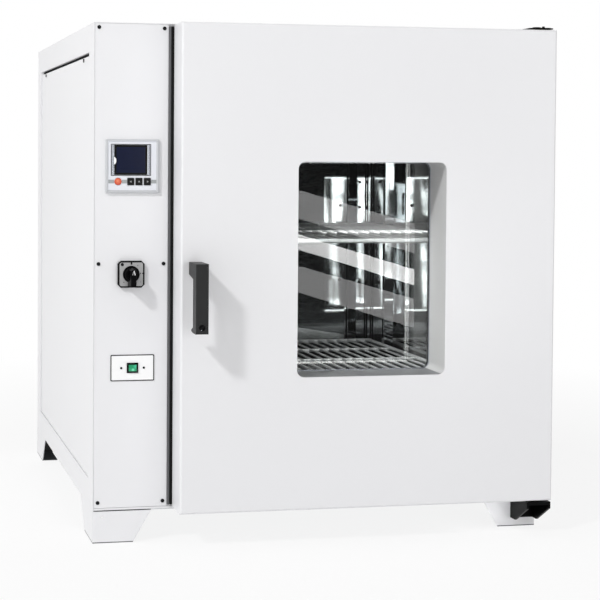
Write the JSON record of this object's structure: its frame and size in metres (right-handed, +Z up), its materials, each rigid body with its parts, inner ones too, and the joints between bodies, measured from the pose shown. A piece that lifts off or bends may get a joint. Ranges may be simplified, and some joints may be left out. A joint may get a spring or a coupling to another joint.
{
  "type": "laboratory drying oven",
  "caption": "Floor-standing fan-assisted drying oven with a windowed side-hung door, wire shelves and a control column on its left.",
  "frame": {"origin": "on the floor, under the middle of the oven's outline", "axes": "+Z up; the door and controls face -Y, the fan motor and exhaust +Y; +X to the right as seen from the front"},
  "size_m": [0.84, 1.188, 0.935],
  "materials": {
    "white_paint": "satin powder coat",
    "grey_paint": "satin powder coat",
    "hinge_paint": "satin powder coat",
    "black_steel": "black oxide",
    "stainless_steel": "satin stainless",
    "chamber_steel": "polished stainless",
    "shelf_wire": "bright drawn wire",
    "zinc_plated_steel": "zinc plated",
    "switch_plate_plastic": "polished",
    "motor_aluminium": "as cast",
    "heater_sheath": "oxidised",
    "brass": "turned",
    "mineral_wool": "loose fibre",
    "black_silicone": "matte",
    "black_plastic": "fine texture",
    "handle_black_plastic": "fine texture",
    "grey_plastic": "satin",
    "screen_plastic": "polished",
    "orange_plastic": "polished",
    "key_plastic": "satin",
    "green_lens": "translucent",
    "clear_glass": "clear"
  },
  "bodies": {
    "cabinet": {"air_baffle": "stainless_steel", "baffle_screws": "zinc_plated_steel", "bottom_panel": "zinc_plated_steel", "cable_gland": "black_plastic", "cam_switch": "black_plastic", "chamber_floor": "chamber_steel", "chamber_lagging": "mineral_wool", "chamber_left_wall": "chamber_steel", "chamber_rear_wall": "chamber_steel", "chamber_right_wall": "chamber_steel", "chamber_roof": "chamber_steel", "column_cover": "white_paint", "column_partition": "zinc_plated_steel", "controller_housing": "grey_plastic", "controller_screen": "screen_plastic", "door_gasket": "black_silicone", "exhaust_spigot": "stainless_steel", "fan_motor": "motor_aluminium", "front_frame": "white_paint", "hinge_fasteners": "black_steel", "lamp_switch_body": "black_plastic", "lamp_switch_plate": "switch_plate_plastic", "latch_keeper": "zinc_plated_steel", "left_access_cover": "white_paint", "left_shelf_rails": "stainless_steel", "left_side_panel": "white_paint", "lower_hinge_bracket": "hinge_paint", "motor_cover": "white_paint", "panel_screws": "black_steel", "rear_panel": "white_paint", "right_shelf_rails": "stainless_steel", "right_side_panel": "white_paint", "ring_heater": "heater_sheath", "temperature_probe": "stainless_steel", "top_cover": "white_paint", "upper_hinge_bracket": "hinge_paint"},
    "door": {"door_outer_skin": "white_paint", "door_window_collar": "grey_paint", "door_inner_panel": "stainless_steel", "door_lagging": "mineral_wool", "door_outer_glass": "clear_glass", "door_inner_glass": "clear_glass", "door_glass_seal": "black_silicone", "door_glass_frame": "stainless_steel", "handle_bush": "brass", "hinge_bushes": "brass"},
    "handle": {"door_handle": "handle_black_plastic", "latch_spindle": "zinc_plated_steel"},
    "selector": {"cam_knob": "black_plastic"},
    "start": {"start_button": "orange_plastic"},
    "key_left": {"left_key": "key_plastic"},
    "key_middle": {"middle_key": "key_plastic"},
    "key_right": {"right_key": "key_plastic"},
    "rocker": {"lamp_switch_rocker": "green_lens"},
    "shelf_upper": {"upper_shelf": "shelf_wire"},
    "shelf_lower": {"lower_shelf": "shelf_wire"},
    "fan": {"fan_impeller": "zinc_plated_steel", "fan_shaft": "zinc_plated_steel"},
    "damper": {"exhaust_damper": "stainless_steel"}
  },
  "joints": [
    {"name": "door_swing", "type": "hinge", "parent": "cabinet", "child": "door", "pos_m": [0.395, -0.486, 0.465], "axis": [0, 0, 1], "range_deg": [0, 110]},
    {"name": "handle_turn", "type": "hinge", "parent": "door", "child": "handle", "pos_m": [-0.2521, -0.525, 0.49805], "axis": [0, -1, 0], "range_deg": [0, 90]},
    {"name": "selector_turn", "type": "hinge", "parent": "cabinet", "child": "selector", "pos_m": [-0.353, -0.441, 0.4824], "axis": [0, -1, 0], "range_deg": [-90, 90]},
    {"name": "start_press", "type": "slide", "parent": "cabinet", "child": "start", "axis": [0, 1, 0], "range_m": [0, 0.0012], "stiffness_N_per_m": 400, "springref_m": -0.0008},
    {"name": "left_key_press", "type": "slide", "parent": "cabinet", "child": "key_left", "axis": [0, 1, 0], "range_m": [0, 0.0012], "stiffness_N_per_m": 400, "springref_m": -0.0008},
    {"name": "middle_key_press", "type": "slide", "parent": "cabinet", "child": "key_middle", "axis": [0, 1, 0], "range_m": [0, 0.0012], "stiffness_N_per_m": 400, "springref_m": -0.0008},
    {"name": "right_key_press", "type": "slide", "parent": "cabinet", "child": "key_right", "axis": [0, 1, 0], "range_m": [0, 0.0012], "stiffness_N_per_m": 400, "springref_m": -0.0008},
    {"name": "rocker_tilt", "type": "hinge", "parent": "cabinet", "child": "rocker", "pos_m": [-0.3492, -0.439, 0.3142], "axis": [1, 0, 0], "range_deg": [-8, 8]},
    {"name": "upper_shelf_slide", "type": "slide", "parent": "cabinet", "child": "shelf_upper", "axis": [0, -1, 0], "range_m": [0, 0.025]},
    {"name": "lower_shelf_slide", "type": "slide", "parent": "cabinet", "child": "shelf_lower", "axis": [0, -1, 0], "range_m": [0, 0.025]},
    {"name": "fan_spin", "type": "hinge", "parent": "cabinet", "child": "fan", "pos_m": [0.06, 0.409, 0.495], "axis": [0, 1, 0], "continuous": true},
    {"name": "damper_turn", "type": "hinge", "parent": "cabinet", "child": "damper", "pos_m": [0.308, 0.535, 0.792], "axis": [0, 0, 1], "range_deg": [0, 90]}
  ]
}
